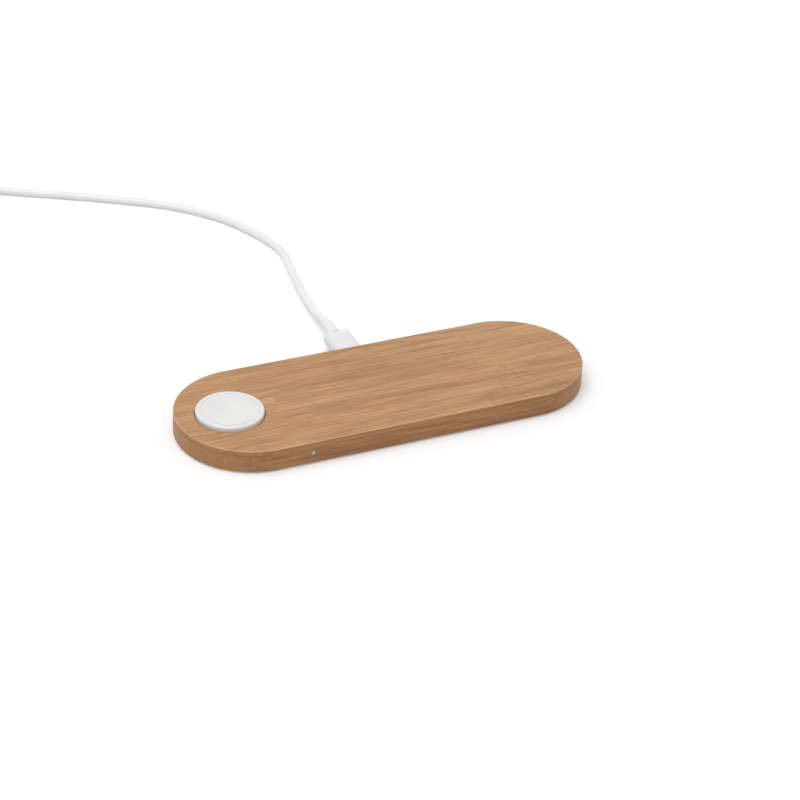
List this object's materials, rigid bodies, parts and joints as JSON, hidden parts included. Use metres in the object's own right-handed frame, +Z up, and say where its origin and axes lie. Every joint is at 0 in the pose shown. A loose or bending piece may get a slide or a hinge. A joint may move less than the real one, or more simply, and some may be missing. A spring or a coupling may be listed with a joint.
{
  "type": "wireless charging station",
  "caption": "Flat bamboo charging slab with round ends, a raised watch puck, hidden charging coils, an indicator lamp and a plug-in supply cord.",
  "frame": {"origin": "on the surface the station stands on, under the middle of the slab", "axes": "+X along the slab to the end that holds a phone, +Y to the back edge with the inlet, +Z up"},
  "size_m": [0.2617, 0.2904, 0.0126],
  "materials": {
    "bamboo_top": "satin oiled bamboo, strips along the slab",
    "bamboo_frame": "satin oiled bamboo, darker edge grain",
    "base_plastic": "fine matte grain",
    "foot_rubber": "matte",
    "screw_steel": "zinc plated",
    "puck_plastic": "satin white",
    "magnet_nickel": "nickel plated",
    "ferrite": "matte sintered",
    "copper_wire": "enamelled copper",
    "foam": "soft closed-cell foam",
    "board_laminate": "solder mask",
    "black_resin": "moulded resin",
    "capacitor_ceramic": "matte",
    "plug_steel": "bright stainless",
    "lamp_lens": "clear light pipe, lit",
    "lamp_chip": "resin",
    "wire_sleeve": "flexible sleeve",
    "cord_white": "soft satin sleeve",
    "tongue_white": "moulded resin",
    "tie_band": "woven band"
  },
  "bodies": {
    "station": {"base_plate": "base_plastic", "capacitor_1": "capacitor_ceramic", "capacitor_2": "capacitor_ceramic", "capacitor_3": "capacitor_ceramic", "capacitor_4": "capacitor_ceramic", "driver_chip": "black_resin", "earbud_coil": "copper_wire", "earbud_ferrite": "ferrite", "earbud_pad": "foam", "foot_1": "foot_rubber", "foot_2": "foot_rubber", "foot_3": "foot_rubber", "foot_4": "foot_rubber", "frame_ring": "bamboo_frame", "inlet_shell": "plug_steel", "inlet_tongue": "black_resin", "lamp_board": "board_laminate", "lamp_chip": "lamp_chip", "lamp_lens": "lamp_lens", "lamp_wire": "wire_sleeve", "main_board": "board_laminate", "phone_coil": "copper_wire", "phone_ferrite": "ferrite", "phone_pad": "foam", "power_inductor": "ferrite", "puck_base": "puck_plastic", "screw_1": "screw_steel", "screw_2": "screw_steel", "screw_3": "screw_steel", "screw_4": "screw_steel", "screw_5": "screw_steel", "screw_6": "screw_steel", "top_panel": "bamboo_top", "watch_coil": "copper_wire", "watch_ferrite": "ferrite", "watch_magnet": "magnet_nickel", "watch_puck": "puck_plastic"},
    "cable": {"plug_shell": "plug_steel", "plug_grip": "cord_white", "plug_relief": "cord_white", "cord": "cord_white", "cord_coil": "cord_white", "cord_tie": "tie_band", "far_relief": "cord_white", "far_grip": "cord_white", "far_shell": "plug_steel", "far_tongue": "tongue_white"}
  },
  "joints": [
    {"name": "plug_slide", "type": "slide", "parent": "station", "child": "cable", "axis": [0, 1, 0], "range_m": [0, 0.012]}
  ]
}
